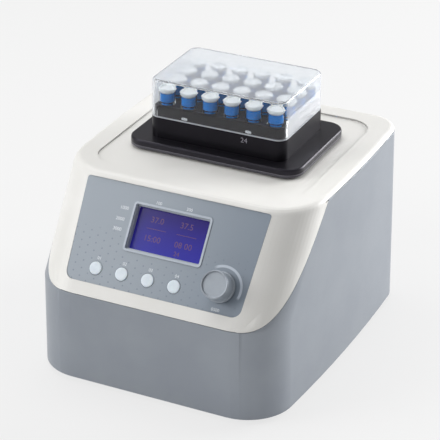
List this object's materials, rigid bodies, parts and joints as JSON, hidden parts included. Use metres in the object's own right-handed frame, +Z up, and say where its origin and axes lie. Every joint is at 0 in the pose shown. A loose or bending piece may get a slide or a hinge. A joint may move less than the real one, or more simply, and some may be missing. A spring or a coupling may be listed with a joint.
{
  "type": "thermal mixer",
  "caption": "Bench thermal mixer: a grey housing with a white cover and sloping control panel, and a shaken, heated tube block under a clear lid on top.",
  "frame": {"origin": "bench level under the middle of the case, feet at z = 0", "axes": "+X to the user's right, +Y to the back, +Z up"},
  "size_m": [0.2108, 0.245, 0.2047],
  "materials": {
    "housing_paint": "satin",
    "cover_paint": "satin",
    "panel_film": "satin",
    "bezel_plastic": "satin",
    "dark_plastic": "matte",
    "display_face": "gloss",
    "circuit_board": "satin",
    "button_plastic": "satin",
    "white_plastic": "satin",
    "knob_grey": "satin",
    "sheet_steel": "brushed",
    "screw_steel": "satin",
    "shaft_steel": "ground",
    "bearing_steel": "polished",
    "brass": "satin",
    "copper_winding": "satin",
    "motor_black": "satin",
    "rotor_iron": "satin",
    "cast_aluminium": "cast",
    "milled_aluminium": "milled",
    "black_anodised": "satin",
    "silicone_pad": "matte",
    "foot_rubber": "matte",
    "lead_insulation": "satin",
    "clear_tube": "clear",
    "blue_liquid": "clear",
    "cap_plastic": "satin",
    "clear_acrylic": "clear"
  },
  "bodies": {
    "base": {"base_housing": "housing_paint", "base_plate": "sheet_steel", "rubber_feet": "foot_rubber", "base_screws": "screw_steel", "top_cover": "cover_paint", "cover_screws": "screw_steel", "control_panel": "panel_film", "display_bezel": "bezel_plastic", "lcd_frame": "dark_plastic", "lcd_glass": "display_face", "display_board": "circuit_board", "board_screws": "screw_steel", "tact_switches": "dark_plastic", "encoder_body": "sheet_steel", "main_board": "circuit_board", "board_standoffs": "brass", "chassis": "sheet_steel", "motor_housing": "motor_black", "motor_stator": "copper_winding", "main_bearings": "bearing_steel", "bearing_housing": "cast_aluminium", "idler_posts": "cast_aluminium", "power_supply": "sheet_steel", "mains_leads": "lead_insulation", "power_inlet": "dark_plastic", "inlet_pins": "shaft_steel", "switch_frame": "dark_plastic", "fan_frame": "dark_plastic", "fan_screws": "screw_steel"},
    "button_1": {"button_1": "button_plastic"},
    "button_2": {"button_2": "button_plastic"},
    "button_3": {"button_3": "button_plastic"},
    "button_4": {"button_4": "button_plastic"},
    "knob_press": {"encoder_plunger": "white_plastic"},
    "knob": {"encoder_shaft": "shaft_steel", "control_knob": "knob_grey"},
    "drive": {"motor_rotor": "rotor_iron", "drive_shaft": "shaft_steel", "counterweight": "brass"},
    "idler_left": {"idler_crank_left": "shaft_steel"},
    "idler_right": {"idler_crank_right": "shaft_steel"},
    "carriage": {"eccentric_bearing": "bearing_steel", "carriage": "milled_aluminium", "platform_pillars": "milled_aluminium", "shaker_platform": "black_anodised", "platform_screws": "screw_steel", "heater_pad": "silicone_pad", "heater_plate": "milled_aluminium", "temperature_probe": "shaft_steel", "locating_pins": "shaft_steel"},
    "block": {"tube_block": "black_anodised", "block_screws": "screw_steel", "lid_detents": "shaft_steel", "sample_tubes": "clear_tube", "tube_liquid": "blue_liquid", "tube_caps": "cap_plastic"},
    "lid": {"clear_lid": "clear_acrylic"},
    "fuse_drawer": {"fuse_drawer": "dark_plastic"},
    "rocker": {"power_rocker": "dark_plastic"},
    "fan": {"fan_rotor": "dark_plastic"}
  },
  "joints": [
    {"name": "button_1_push", "type": "slide", "parent": "base", "child": "button_1", "axis": [0, 0.809, -0.5878], "range_m": [0, 0.0007], "stiffness_N_per_m": 400},
    {"name": "button_2_push", "type": "slide", "parent": "base", "child": "button_2", "axis": [0, 0.809, -0.5878], "range_m": [0, 0.0007], "stiffness_N_per_m": 400},
    {"name": "button_3_push", "type": "slide", "parent": "base", "child": "button_3", "axis": [0, 0.809, -0.5878], "range_m": [0, 0.0007], "stiffness_N_per_m": 400},
    {"name": "button_4_push", "type": "slide", "parent": "base", "child": "button_4", "axis": [0, 0.809, -0.5878], "range_m": [0, 0.0007], "stiffness_N_per_m": 400},
    {"name": "knob_press", "type": "slide", "parent": "base", "child": "knob_press", "axis": [0, 0.809, -0.5878], "range_m": [0, 0.0006], "stiffness_N_per_m": 800},
    {"name": "knob_turn", "type": "hinge", "parent": "knob_press", "child": "knob", "pos_m": [0.0514, -0.10498, 0.10011], "axis": [0, -0.809, 0.5878], "continuous": true},
    {"name": "drive_turn", "type": "hinge", "parent": "base", "child": "drive", "pos_m": [0, 0.0288, 0.1], "axis": [0, 0, 1], "continuous": true},
    {"name": "carriage_orbit", "type": "hinge", "parent": "drive", "child": "carriage", "pos_m": [0.0015, 0.0288, 0.12], "axis": [0, 0, 1], "continuous": true},
    {"name": "idler_left_turn", "type": "hinge", "parent": "base", "child": "idler_left", "pos_m": [-0.048, 0.0288, 0.1], "axis": [0, 0, 1], "continuous": true},
    {"name": "idler_right_turn", "type": "hinge", "parent": "base", "child": "idler_right", "pos_m": [0.048, 0.0288, 0.1], "axis": [0, 0, 1], "continuous": true},
    {"name": "block_lift", "type": "slide", "parent": "carriage", "child": "block", "axis": [0, 0, 1], "range_m": [0, 0.06]},
    {"name": "lid_lift", "type": "slide", "parent": "block", "child": "lid", "axis": [0, 0, 1], "range_m": [0, 0.05]},
    {"name": "fuse_drawer_slide", "type": "slide", "parent": "base", "child": "fuse_drawer", "axis": [0, 1, 0], "range_m": [0, 0.018]},
    {"name": "rocker_tilt", "type": "hinge", "parent": "base", "child": "rocker", "pos_m": [0.061, 0.1155, 0.04], "axis": [1, 0, 0], "range_deg": [0, 16]},
    {"name": "fan_spin", "type": "hinge", "parent": "base", "child": "fan", "pos_m": [-0.042, 0.108, 0.05], "axis": [0, 1, 0], "continuous": true}
  ],
  "couplings": [
    {"joint": "carriage_orbit", "follows": "drive_turn", "ratio": -1},
    {"joint": "idler_left_turn", "follows": "drive_turn", "ratio": 1},
    {"joint": "idler_right_turn", "follows": "drive_turn", "ratio": 1}
  ]
}
